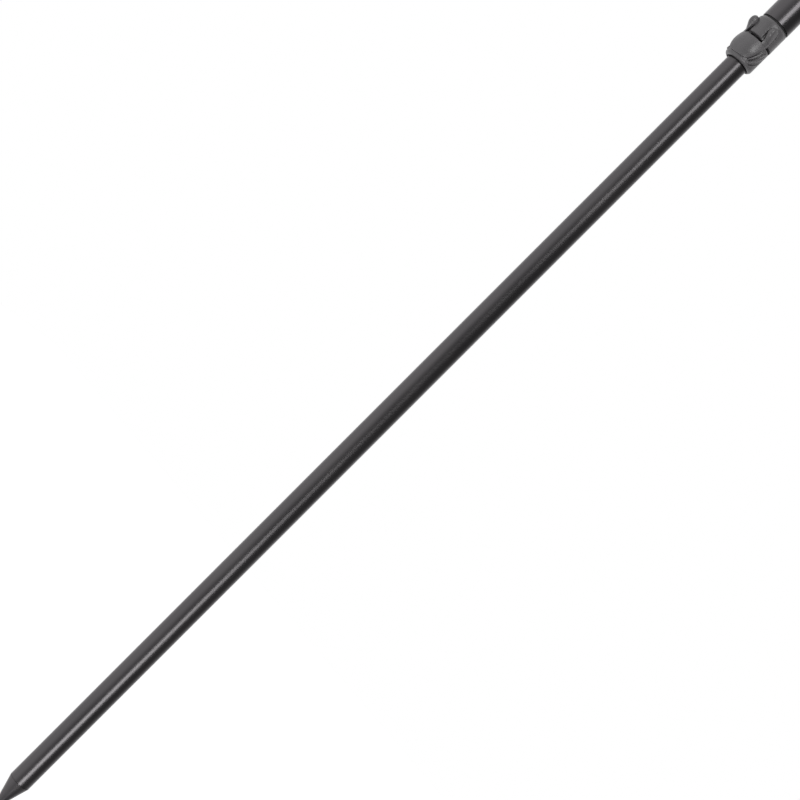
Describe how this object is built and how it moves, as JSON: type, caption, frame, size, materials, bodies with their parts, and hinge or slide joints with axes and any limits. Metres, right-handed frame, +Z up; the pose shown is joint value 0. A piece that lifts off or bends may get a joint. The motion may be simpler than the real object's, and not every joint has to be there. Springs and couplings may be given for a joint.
{
  "type": "telescopic bank stick",
  "caption": "Telescopic bank stick: a ground spike on a slim lower tube, a flip-lever lock and a wider upper tube with a threaded head.",
  "frame": {"origin": "the point of the ground spike, on the tubes' axis", "axes": "+Z up the stick from the spike to the threaded head; -Y towards the front of the lock's lever; +X completes a right-handed frame, along the lever's pivot pin"},
  "size_m": [0.0242, 0.0267, 1.4953],
  "materials": {
    "anodised_tube": "satin anodised, gunmetal grey",
    "spike_metal": "turned and anodised, gunmetal grey",
    "anodised_head": "turned and anodised, dark grey",
    "moulded_nylon": "fine moulded texture, dark grey",
    "rubber": "smooth black rubber",
    "acetal": "smooth black acetal",
    "steel": "blackened steel",
    "brass": "turned brass"
  },
  "bodies": {
    "lower_section": {"ground_spike": "spike_metal", "lower_tube": "anodised_tube", "stop_plug": "acetal", "stop_pin": "steel"},
    "glide": {"glide_ring": "acetal"},
    "upper_section": {"upper_tube": "anodised_tube", "lock_body": "moulded_nylon", "wiper_ring": "rubber", "joint_ring": "rubber", "lock_rivet": "steel", "head_plug": "anodised_head", "thread_insert": "brass"},
    "cam_lever": {"cam_lever": "moulded_nylon", "pivot_pin": "steel"}
  },
  "joints": [
    {"name": "swivel", "type": "hinge", "parent": "lower_section", "child": "glide", "pos_m": [0, 0, 0.7675], "axis": [0, 0, 1], "continuous": true},
    {"name": "telescope", "type": "slide", "parent": "glide", "child": "upper_section", "axis": [0, 0, -1], "range_m": [0, 0.66]},
    {"name": "lever_flip", "type": "hinge", "parent": "upper_section", "child": "cam_lever", "pos_m": [0, -0.0094, 0.728], "axis": [-1, 0, 0], "range_deg": [0, 115]}
  ]
}
